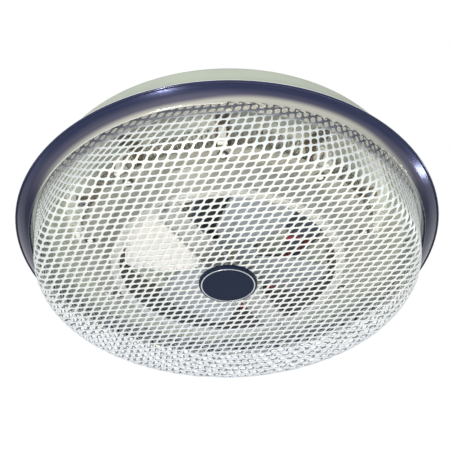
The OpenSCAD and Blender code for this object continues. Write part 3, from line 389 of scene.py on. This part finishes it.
def ring_finish():
    made = Finish("anodised_ring", Metallic=0.75, Coat_Weight=0.25, Coat_Roughness=0.1)
    z = made.axis("Z")
    radius = made.radius()
    out = (radius - RING_IN_R) / RING_W
    rightward = made.axis("X") / radius
    backward = made.axis("Y") / radius
    grain = made.lathe_grain(0.5 * MM, 3)

    # painted reflection: paler inwards, to a beige on the near side; the navy further out is the ring's own
    # colour
    inner_reflection = made.mix((0 - backward).rise(0.3, 0.9), rgb(78, 84, 98), rgb(196, 194, 184))
    wider_reflection = (rightward * 0.34 - backward * 0.94).rise(0.86, 1.0) * 0.2  # nearest to us, a bit to the right
    colour = made.mix((out - wider_reflection).rise(0.02, 0.34), inner_reflection, rgb(90, 88, 108))
    colour = made.mix(out.rise(0.36, 0.8), colour, rgb(46, 52, 84))
    # painted shade: the ring is coloured darker navy at its left and right
    beside_shade = rightward.math("ABSOLUTE").rise(0.8, 0.98)
    colour = made.mix(beside_shade, colour, rgb(20, 26, 58))

    # painted highlights: thin bright lines on the back of the outer bead and on the inner bead, away from
    # the sides
    bead_highlight = z.rise(BEAD_BACK_Z, BEAD_BACK_Z + 0.3 * MM) * out.rise(0.9, 0.98)
    below = 1 - z.rise(INNER_BEAD_Z, INNER_BEAD_Z + 0.4 * MM)
    inner_bead_highlight = (1 - out.rise(-0.03, 0.01)) * below * (1 - beside_shade)
    colour = made.mix(bead_highlight + inner_bead_highlight, colour, rgb(250, 250, 244))
    collar = z.rise(COLLAR_Z, COLLAR_Z + 0.4 * MM) * (1 - out.rise(0.0, 0.04))
    # bare metal on the collar, with painted shade: lighter on the near side and darker on the far side
    bare_metal_and_shade = made.mix(backward.rise(-0.6, 0.1), rgb(206, 206, 200), rgb(176, 182, 178))
    colour = made.mix(collar, colour, bare_metal_and_shade)

    made.feed("Base Color", made.mix(grain.rise(0.5, 0.8) * 0.2, colour, rgb(140, 140, 150)))
    made.feed("Roughness", 0.12 + grain * 0.1)
    made.wear(grain, 0.02 * MM)
    return made


ring_finish().put_on("trim_ring")

# %% [markdown]
# ## Small metal parts
#
# Screws, rivets, nuts and posts are zinc plated: a slightly blue, slightly blotchy silver. The
# element brackets started like that, but years beside a glowing coil turned them straw and brown.
# Brass is used where current passes and where the shaft runs. A plated metal differs from the next
# only in its colours, its roughness and how metallic it is, so one function makes them all.


# %% Plated and bare metals
def plated_finish(name, light, dark, rough, metallic=0.85):
    """Plated or bare metal: blotches, fine scratches along X and a soft orange peel."""
    made = Finish(name, Metallic=metallic)
    blotch = made.noise(4 * MM)
    scratch = made.noise(0.6 * MM, stretch=(0.06, 1, 1))
    made.feed("Base Color", made.mix(blotch * 0.6 + scratch * 0.4, rgb(*light), rgb(*dark)))
    made.feed("Roughness", rough - 0.08 + scratch * 0.16)
    made.wear(scratch * 0.6 + blotch * 0.4, 0.03 * MM)
    return made


plated_finish("zinc_plate", (206, 208, 210), (172, 176, 182), 0.34).put_on(
    "shield_posts", "bracket_screws", "terminal_rivet", "motor_posts", "motor_screws", "supply_screws",
    "cutout_screws", "strap_screws", "strap_nut", "badge_stud", "grille_spacer",
    "upper_bearing_bracket", "lower_bearing_bracket", "motor_shaft",
)
plated_finish("satin_steel", (232, 233, 232), (212, 214, 214), 0.3).put_on("grille_strap", "grille_rivets")
plated_finish("rotor_steel", (150, 150, 150), (118, 118, 120), 0.45).put_on("rotor_core")
plated_finish("spring_steel", (122, 120, 120), (92, 90, 92), 0.4).put_on("push_nuts", "fan_set_screw")
plated_finish("mill_aluminium", (202, 207, 214), (184, 190, 200), 0.3, 0.55).put_on(
    "fan_blades", "fan_rivets", "overheat_cutout"
)
plated_finish("brass", (206, 172, 98), (176, 140, 74), 0.34).put_on(
    "terminal_posts", "terminal_screws", "supply_clamps", "fan_hub", "bearings"
)
plated_finish("bare_copper", (206, 138, 98), (168, 100, 68), 0.36).put_on("shading_rings")
plated_finish("green_lacquer", (66, 128, 72), (48, 104, 56), 0.4, 0.2).put_on("ground_screw")


# %% Heat-tinted brackets
def bracket_finish():
    made = Finish("heat_tint", Metallic=0.7)
    blotch = made.noise(5 * MM)
    heat = made.axis("Z").band(COIL_Z - 2 * MM, 6 * MM, 14 * MM) * 0.6 + blotch * 0.5
    straw = made.mix(blotch, rgb(182, 170, 152), rgb(150, 138, 122))
    made.feed("Base Color", made.mix(heat.rise(0.3, 0.9), straw, rgb(116, 98, 86)))
    made.feed("Roughness", 0.38 + blotch * 0.25)
    made.wear(blotch * 0.5 + made.noise(0.8 * MM) * 0.5, 0.04 * MM)
    return made


bracket_finish().put_on("element_brackets")

# %% [markdown]
# ## Ceramic, plastic and the motor's core
#
# The posts that carry the coil are white steatite, smooth but not shiny, with a warm stain where
# the coil runs. The motor's core is a pile of half millimetre plates. Each plate could be a thin
# solid, but little of the core shows, so its finish is stripes along the height.


# %% Insulators
def steatite_finish():
    made = Finish("steatite", Metallic=0.0)
    speck = made.noise(1.2 * MM)
    warm = made.axis("Z").band(COIL_Z, 3 * MM, 6 * MM) * made.noise(6 * MM).rise(0.35, 0.75)
    colour = made.mix(speck, rgb(250, 250, 244), rgb(238, 238, 230))
    made.feed("Base Color", made.mix(warm * 0.4, colour, rgb(206, 190, 168)))
    made.feed("Roughness", 0.3 + speck * 0.2)
    made.wear(speck, 0.04 * MM)
    return made


steatite_finish().put_on("insulators", "terminal_base")


# %% Plastics
def moulded_finish(name, light, dark, rough):
    """Moulded plastic: a fine spark-eroded grain and faint flow marks."""
    made = Finish(name, Metallic=0.0)
    grain = made.noise(0.5 * MM)
    flow = made.noise(12 * MM, stretch=(1, 0.3, 1))
    made.feed("Base Color", made.mix(flow * 0.7 + grain * 0.3, rgb(*light), rgb(*dark)))
    made.feed("Roughness", rough + grain * 0.14)
    made.wear(grain, 0.03 * MM)
    return made


moulded_finish("nylon", (232, 230, 220), (216, 214, 202), 0.4).put_on(
    "bobbin", "entry_bushing", "thrust_washers"
)
moulded_finish("phenolic", (44, 43, 44), (30, 30, 32), 0.3).put_on("supply_block")

# %% Motor core
CORE_PLATE = 0.5 * MM


def core_finish():
    made = Finish("core_plates", Metallic=0.75)
    plate = made.axis("Z").waves(CORE_PLATE) * 0.5 + 0.5
    rust = made.noise(6 * MM).rise(0.55, 0.8)
    colour = made.mix(plate, rgb(96, 98, 102), rgb(150, 152, 156))
    made.feed("Base Color", made.mix(rust * 0.35, colour, rgb(120, 92, 70)))
    made.feed("Roughness", 0.36 + rust * 0.3)
    made.wear(plate, 0.06 * MM)
    return made


core_finish().put_on("stator_core")

# %% [markdown]
# ## The badge
#
# In the middle of the grille sits a domed navy disc, the head of the screw that holds the grille. It
# is lacquered, with a thin bright line near its edge and a little dust in the lacquer. The line could
# be a fine ring of its own, but it has no height that anyone could see. Distance from the axis draws
# it, so it stays a true circle.

# %% Badge finish
BADGE_LINE_R = 17.5 * MM
BADGE_FRONT_Z = -69.7 * MM


def badge_finish():
    made = Finish("badge_lacquer", Specular_IOR_Level=0.12)
    dust = made.noise(0.7 * MM)
    in_front = 1 - made.axis("Z").rise(BADGE_FRONT_Z, BADGE_FRONT_Z + 0.7 * MM)
    line = made.radius().band(BADGE_LINE_R, 0.32 * MM, 0.12 * MM) * in_front
    colour = made.mix(dust.rise(0.4, 0.8), rgb(14, 24, 42), rgb(26, 36, 56))
    made.feed("Base Color", made.mix(line, colour, rgb(222, 226, 232)))
    made.feed("Metallic", line * 0.9)
    made.feed("Roughness", 0.26 + dust * 0.16)
    made.wear(made.noise(3 * MM) * 0.6 + dust * 0.4, 0.03 * MM)
    return made


badge_finish().put_on("badge")

# %% [markdown]
# ## Helpers for modelling
#
# Operators act on whatever is selected, so each piece starts with everything deselected. Faces are
# then picked in code, by where they are or how many corners they have. A finished piece has its
# place in its mesh. It gets a name, rides on the heater and stands in for its CAD node.


# %% Modelling helpers
def pick_faces(piece, wanted):
    """Edit mode, with the faces picked that pass the test. Says how many there are."""
    if bpy.context.object.mode != "EDIT":
        bpy.ops.object.mode_set(mode="EDIT")
    bpy.ops.mesh.select_mode(type="FACE")
    bpy.ops.mesh.select_all(action="DESELECT")
    bpy.ops.object.mode_set(mode="OBJECT")
    for face in piece.data.polygons:
        face.select = wanted(face)
    bpy.ops.object.mode_set(mode="EDIT")
    return sum(face.select for face in piece.data.polygons)


def apply_modifier(piece, name, kind, **settings):
    """Adds one modifier and applies it."""
    made = piece.modifiers.new(name, kind)
    for key, value in settings.items():
        setattr(made, key, value)
    bpy.ops.object.modifier_apply(modifier=name)


def hang(piece, name, body, slot, *stands_for):
    """Names a finished piece and lets it ride on its body, in place of CAD nodes."""
    piece.name = name
    piece.data.name = name
    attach(piece, body)
    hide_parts(*stands_for)
    triangles = sum(len(face.vertices) - 2 for face in piece.data.polygons)
    print(name, "has", triangles, "triangles")


# %% [markdown]
# ## The grille: expanded metal
#
# Expanded metal is a sheet that was slit and pulled open, so each hole is a slanted cell and the
# strands between them are one piece. It could be made from thousands of bars, but a flat grid of
# slanted cells is nearer to how it is made: every cell is inset, the corners of the middles are
# cut off, and the middles are taken out. Then the flat net is pressed into a shallow pan, as the
# real one was in a die: flat in front, rounded at the corner, with cells squeezed shorter up the wall.

# %% The pan that the net becomes
FRONT_Z = -67.4 * MM
CORNER_R = 8.5 * MM
CORNER_AT = 119.1 * MM  # how far from the axis the flat front ends
CORNER_ARC = CORNER_R * math.pi / 2
WALL_FOOT = Vector((CORNER_AT + CORNER_R, FRONT_Z + CORNER_R))
WALL_TOP = Vector((129.8 * MM, -34.2 * MM))
UNSQUEEZED_R = 128 * MM  # beyond this the die gathered the sheet
SQUEEZE = 0.85  # what is left there of a length
PROFILE = CORNER_AT + CORNER_ARC + (WALL_TOP - WALL_FOOT).length
NET_R = UNSQUEEZED_R + (PROFILE - UNSQUEEZED_R) / SQUEEZE
print("the flat net is", round(2 * NET_R / MM, 1), "mm across")

# %% The flat net
CELLS = 62  # along each side of a grid that is larger than the disc
ALONG_ROW = Vector((6.0, -0.65, 0)) * MM  # from one hole to the next in a row
TO_NEXT_ROW = Vector((2.3, -5.9, 0)) * MM
STRAND = 1.2 * MM
STRAND_TILT = 0.2 * MM  # a strand's edges stand this much proud of its middle
HOLE_CORNER = 1.1 * MM
HOLE_SIDES = 8  # a four-sided middle has these once its corners are cut off
RIM = 0.6 * MM

start()
bpy.ops.mesh.primitive_grid_add(x_subdivisions=CELLS, y_subdivisions=CELLS, size=1)
net = bpy.context.object
for corner in net.data.vertices:
    corner.co = corner.co.x * CELLS * ALONG_ROW + corner.co.y * CELLS * TO_NEXT_ROW
outside = pick_faces(net, lambda face: face.center.length > NET_R + RIM)
bpy.ops.mesh.delete(type="FACE")
bpy.ops.mesh.select_all(action="SELECT")
bpy.ops.mesh.inset(thickness=STRAND / 2, depth=-STRAND_TILT, use_individual=True)
bpy.ops.mesh.bevel(affect="VERTICES", offset=HOLE_CORNER, segments=1)
holes = pick_faces(net, lambda face: len(face.vertices) == HOLE_SIDES)
bpy.ops.mesh.delete(type="FACE")
bpy.ops.object.mode_set(mode="OBJECT")
print("cells left off:", outside, "holes:", holes, "faces in the net:", len(net.data.polygons))


# %% Pressing the net into its pan
def pressed(flat):
    """Where a point of the flat net lands on the pan."""
    out = min(flat.xy.length, NET_R)
    run = out if out < UNSQUEEZED_R else UNSQUEEZED_R + (out - UNSQUEEZED_R) * SQUEEZE
    if run < CORNER_AT:
        spot = Vector((run, FRONT_Z))
        normal = Vector((0, -1))
    elif run < CORNER_AT + CORNER_ARC:
        turn = (run - CORNER_AT) / CORNER_R
        normal = Vector((math.sin(turn), -math.cos(turn)))
        spot = Vector((CORNER_AT, FRONT_Z + CORNER_R)) + normal * CORNER_R
    else:
        rise = (WALL_TOP - WALL_FOOT).normalized()
        spot = WALL_FOOT + rise * (run - CORNER_AT - CORNER_ARC)
        normal = Vector((rise.y, -rise.x))
    spot = spot - normal * flat.z
    heading = flat.xy.normalized()
    return Vector((heading.x * spot.x, heading.y * spot.x, spot.y))


GRILLE_SHEET = 0.6 * MM
SAME_POINT = 0.05 * MM
TOO_SHORT = 0.02 * MM
SHARP_STRAND = math.radians(50)

for corner in net.data.vertices:
    corner.co = pressed(corner.co)
bpy.ops.object.mode_set(mode="EDIT")
bpy.ops.mesh.select_all(action="SELECT")
bpy.ops.mesh.remove_doubles(threshold=SAME_POINT)
bpy.ops.mesh.dissolve_degenerate(threshold=TOO_SHORT)
bpy.ops.object.mode_set(mode="OBJECT")
apply_modifier(net, "sheet", "SOLIDIFY", thickness=GRILLE_SHEET, offset=-1)
bpy.ops.object.shade_smooth_by_angle(angle=SHARP_STRAND)
hang(net, "expanded_grille", "heater", "mesh_grille", "mesh_grille")


# %% [markdown]
# The strands are bright metal with a soft shine: rolled, slit and cleaned. They have a faint warm
# cast in wide clouds, and a painted cool cast of light on the half of the front that is away
# from us. High on the near wall we look at the strands from inside, against the light, and
# they are dark. A lamp can't darken them, so masks of height and direction do.


# %% Grille finish
def grille_finish():
    made = Finish("grille_metal", Metallic=0.35)
    roll = made.noise(0.9 * MM, stretch=(1, 0.2, 1))
    clouds = made.noise(30 * MM)
    y = made.axis("Y")
    z = made.axis("Z")
    colour = made.mix(roll, rgb(211, 215, 214), rgb(193, 198, 198))
    colour = made.mix(clouds.rise(0.5, 0.8) * 0.5, colour, rgb(216, 213, 204))
    # painted cool cast of light on the far half of the front
    far_front_cool_cast = y.rise(-20 * MM, 90 * MM) * (1 - z.rise(-65 * MM, -50 * MM))
    colour = made.mix(far_front_cool_cast * 0.6, colour, rgb(199, 206, 220))
    near_wall = (0 - y / made.radius()).rise(0.35, 0.8) * z.rise(-47 * MM, -40 * MM)
    made.feed("Base Color", made.mix(near_wall * 0.9, colour, rgb(84, 88, 104)))
    made.feed("Roughness", 0.3 + roll * 0.2)
    made.wear(roll, 0.03 * MM)
    return made


grille_finish().put_on(net)

# %% [markdown]
# ## The heating coil
#
# One long resistance wire, wound into fine curls and threaded through the nine ceramic posts. It
# could be a ring with a wavy bump, but the curls show as dark slots through the grille. So it is a
# single curve: its points go round the ring and round each curl at once, and a round section
# follows them. Both ends leave the curls and run straight into the brass posts.

# %% A wire through points
def wire(name, points, radius, roundness):
    """A round wire as a mesh. Its section has more sides with more roundness."""
    line = bpy.data.curves.new(name, "CURVE")
    line.dimensions = "3D"
    line.bevel_depth = radius
    line.bevel_resolution = roundness
    line.use_fill_caps = True
    run = line.splines.new("POLY")
    run.points.add(len(points) - 1)
    for point, place in zip(run.points, points):
        point.co = (*place, 1)
    start()
    made = bpy.data.objects.new(name, line)
    bpy.context.scene.collection.objects.link(made)
    made.select_set(True)
    bpy.context.view_layer.objects.active = made
    bpy.ops.object.convert(target="MESH")
    bpy.ops.object.shade_smooth()
    return bpy.context.object


# %% Coil
CURL_R = 4.5 * MM
WIRE_R = 0.3 * MM
CURLS = 190
STEPS = 14  # points to a curl
COIL_TURNED = math.radians(88)  # where the two terminals stand
HALF_GAP = math.radians(12)  # to each side of them, this is free of curls
TERMINAL_R = 93.6 * MM
TERMINAL_FACE = 13 * MM
STRAIGHT = 3 * MM


def curl_point(step):
    """A point on the curled part, measured from the terminals. The first and last curl open up."""
    last = CURLS * STEPS
    around = HALF_GAP + (math.tau - 2 * HALF_GAP) * step / last
    curl = math.tau * step / STEPS
    size = CURL_R * min(1, min(step, last - step) / STEPS)
    out = COIL_R + size * math.cos(curl)
    return Vector((out * math.cos(around), out * math.sin(around), COIL_Z + size * math.sin(curl)))


def straight_end(side):
    return [Vector((TERMINAL_R, side * (TERMINAL_FACE + run), COIL_Z)) for run in (0, STRAIGHT)]


curls = [curl_point(step) for step in range(CURLS * STEPS + 1)]
coil_line = [*straight_end(1), *curls, *reversed(straight_end(-1))]
turned = Matrix.Rotation(COIL_TURNED, 3, "Z")
coil = wire("coil", [turned @ point for point in coil_line], WIRE_R, 1)
wire_length = sum((b - a).length for a, b in zip(coil_line, coil_line[1:]))
print("wire length in metres:", round(wire_length, 2))
hang(coil, "fine_coil", "heater", "heating_coil", "heating_coil")


# %% Coil finish
def coil_finish():
    made = Finish("oxidised_wire", Metallic=0.6)
    blotch = made.noise(3 * MM)
    made.feed("Base Color", made.mix(blotch.rise(0.3, 0.7), rgb(186, 164, 150), rgb(140, 120, 112)))
    made.feed("Roughness", 0.4 + blotch * 0.3)
    made.wear(blotch, 0.02 * MM)
    return made


coil_finish().put_on(coil)

# %% [markdown]
# ## The motor's winding
#
# The coil of the motor sits beside the rotor, on its white bobbin. Its copper is hidden under woven
# glass tape, which rounds the corners and bulges a little between the bobbin's cheeks. Turns of
# copper would never be seen, so only the tape's outside is shaped: an open box whose long edges are
# rounded, crowned in the middle and then thickened inwards.

# %% The band
WOUND_X = (19.7 * MM, 39.5 * MM)
WOUND_Z = (-35.9 * MM, -10.1 * MM)
WOUND_HALF_Y = 8.8 * MM
TAPE_ROUND = 4.4 * MM
ROUND_STEPS = 7
CUTS = 9  # across every face, so that the band can bulge

middle = Vector((sum(WOUND_X) / 2, 0, sum(WOUND_Z) / 2))
start()
bpy.ops.mesh.primitive_cube_add(size=1)
winding = bpy.context.object
winding.scale = (WOUND_X[1] - WOUND_X[0], 2 * WOUND_HALF_Y, WOUND_Z[1] - WOUND_Z[0])
winding.location = middle
bpy.ops.object.transform_apply(location=True, rotation=False, scale=True)
pick_faces(winding, lambda face: abs(face.normal.y) > 0.5)
bpy.ops.mesh.delete(type="ONLY_FACE")
bpy.ops.mesh.select_mode(type="EDGE")
bpy.ops.mesh.select_all(action="DESELECT")
bpy.ops.object.mode_set(mode="OBJECT")
for edge in winding.data.edges:
    ends = [winding.data.vertices[i].co for i in edge.vertices]
    edge.select = abs(ends[0].y - ends[1].y) > WOUND_HALF_Y
bpy.ops.object.mode_set(mode="EDIT")
bpy.ops.mesh.bevel(offset=TAPE_ROUND, segments=ROUND_STEPS)
bpy.ops.mesh.select_all(action="SELECT")
bpy.ops.mesh.subdivide(number_cuts=CUTS, quadcorner="INNERVERT")
bpy.ops.object.mode_set(mode="OBJECT")
print("faces in the band:", len(winding.data.polygons))

# %% Its crown and its thickness
WOUND_T = 3.9 * MM
CROWN = 0.9 * MM
CROWN_POWER = 4  # flat in the middle, steep beside the cheeks
SOFT_RIM = 0.5 * MM
SHARP_RIM = math.radians(60)
SHARP_TAPE = math.radians(40)

for corner in winding.data.vertices:
    shrink = CROWN * (corner.co.y / WOUND_HALF_Y) ** CROWN_POWER
    for axis, half in ((0, WOUND_X[1] - middle.x), (2, WOUND_Z[1] - middle.z)):
        corner.co[axis] -= shrink * (corner.co[axis] - middle[axis]) / half
apply_modifier(winding, "tape", "SOLIDIFY", thickness=WOUND_T - CROWN, offset=-1)
apply_modifier(winding, "soft_rim", "BEVEL", width=SOFT_RIM, segments=3, angle_limit=SHARP_RIM)
bpy.ops.object.shade_smooth_by_angle(angle=SHARP_TAPE)
hang(winding, "taped_winding", "heater", "winding", "winding")

# %% Tape finish
TAPE_LAP = 6 * MM
TAPE_SLANT = 0.08594  # how far along Y a lap leans for each metre of height
THREAD = 0.6 * MM


def tape_finish():
    made = Finish("glass_tape", Metallic=0.0)
    y = made.axis("Y")
    z = made.axis("Z")
    lap = (y + z * TAPE_SLANT).waves(TAPE_LAP).rise(0.7, 0.95)
    weave = y.waves(THREAD) * (made.axis("X") + z).waves(THREAD) * 0.5 + 0.5
    stain = made.noise(6 * MM)
    colour = made.mix(weave * 0.6 + stain * 0.4, rgb(206, 212, 200), rgb(166, 174, 160))
    made.feed("Base Color", made.mix(lap * 0.5, colour, rgb(136, 142, 128)))
    made.feed("Roughness", 0.55 + weave * 0.2)
    made.wear(weave * 0.5 + lap * 0.5, 0.15 * MM)
    return made


tape_finish().put_on(winding)

# %% [markdown]
# ## The leads
#
# Short silicone-covered wires join the terminals, the cut-out and the motor. Each follows a few
# points, chosen as a fitter bends a lead round what is in its way, and the CAD's own leads
# follow the same ones. A soft curve through the points would leave that route, so the stretches
# stay straight and only the corners are rounded, in finer steps than in the CAD.

# %% Routes of the leads, in millimetres
def at_terminal(along, radius, z):
    """A point near the terminals: along from the middle between them, and out from the axis."""
    c = math.cos(COIL_TURNED)
    s = math.sin(COIL_TURNED)
    return (radius * c - along * s, radius * s + along * c, z)


LEADS = {
    "black_lead": [(-53.5, 12, -9.4), (-49.5, 12, -9.4), (-43, 29, -9.4), (12, 31, -9.4), (22, 46, -10.1),
                   (30, 46, -10.1)],
    "red_element_lead": [(38, 46, -12.9), (42, 46, -12.9), (45, 50, -14.9), (39, 65, -20),
                         at_terminal(-9, 79, -27), at_terminal(-9, 89.6, -27)],
    "white_element_lead": [at_terminal(9, 89.6, -27), at_terminal(9, 79, -27), (-42, 65, -20),
                           (-70, 24, -13), (-74, 4, -9.4), (-70.5, 0, -9.4), (-66.5, 0, -9.4)],
    "red_motor_lead": [(39.5, -3, -32), (43.5, -3, -32), (50, -2, -32), (58, 8, -24), (50, 38, -10.1),
                       (42, 46, -10.1), (38, 46, -10.1)],
    "white_motor_lead": [(39.5, 5, -20), (43.5, 5, -20), (45, 9, -14), (40, 27, -12.6),
                         (-33, 26.5, -12.6), (-46, 3, -9.4), (-49.5, 0, -9.4), (-53.5, 0, -9.4)],
    "ground_lead": [(-53.5, -12, -9.4), (-49.5, -12, -9.4), (-46, -17, -5), (-44.7, -23.8, -2),
                    (-42.3, -27, -2)],
}
print("leads:", len(LEADS))

# %% Leads
LEAD_R = 1.3 * MM
LEAD_BEND = 6 * MM
BEND_SHARE = 0.45  # of a short stretch, a bend takes no more than this
BEND_STEPS = 8


def rounded(path):
    """The path with each corner drawn as a small arc."""
    line = [path[0]]
    for before, corner, after in zip(path, path[1:], path[2:]):
        to_before = before - corner
        to_after = after - corner
        cut = min(LEAD_BEND, to_before.length * BEND_SHARE, to_after.length * BEND_SHARE)
        first = corner + to_before.normalized() * cut
        last = corner + to_after.normalized() * cut
        for step in range(BEND_STEPS + 1):
            t = step / BEND_STEPS
            line.append((1 - t) ** 2 * first + 2 * t * (1 - t) * corner + t * t * last)
    return line + [path[-1]]


def sleeve_finish(name, colour):
    made = Finish(name + "_silicone", Metallic=0.0)
    rub = made.noise(1.5 * MM)
    darker = [0.8 * c for c in colour]
    made.feed("Base Color", made.mix(rub, rgb(*colour), rgb(*darker)))
    made.feed("Roughness", 0.42 + rub * 0.2)
    made.wear(rub, 0.04 * MM)
    return made


SLEEVES = {"black": (30, 30, 32), "red": (214, 92, 100), "white": (226, 226, 220), "ground": (52, 128, 66)}
sleeves = {name: sleeve_finish(name, colour) for name, colour in SLEEVES.items()}
for name, route in LEADS.items():
    lead = wire(name, rounded([Vector(point) * MM for point in route]), LEAD_R, 2)
    hang(lead, name + "_wire", "heater", name, name)
    sleeves[name.split("_")[0]].put_on(lead)

# %% [markdown]
# ## The floor
#
# The heater hangs over a plain pale floor, far enough below that it only catches a faint shadow. A
# curved backdrop would hide the floor's far edge, but the camera looks up and never sees that edge,
# so a flat sheet is enough.

# %% Floor
FLOOR_Z = -1.1
FLOOR_SIZE = 8
MOTTLE = 0.6  # its blotches are this wide

start()
bpy.ops.mesh.primitive_plane_add(size=FLOOR_SIZE, location=(0, 0, FLOOR_Z))
floor = bpy.context.object
floor.name = "studio_floor"
floor_paint = Finish("floor_paint", Roughness=0.9)
floor_colour = floor_paint.mix(floor_paint.noise(MOTTLE), rgb(246, 246, 245), rgb(240, 240, 239))
floor_paint.feed("Base Color", floor_colour)
floor_paint.put_on(floor)
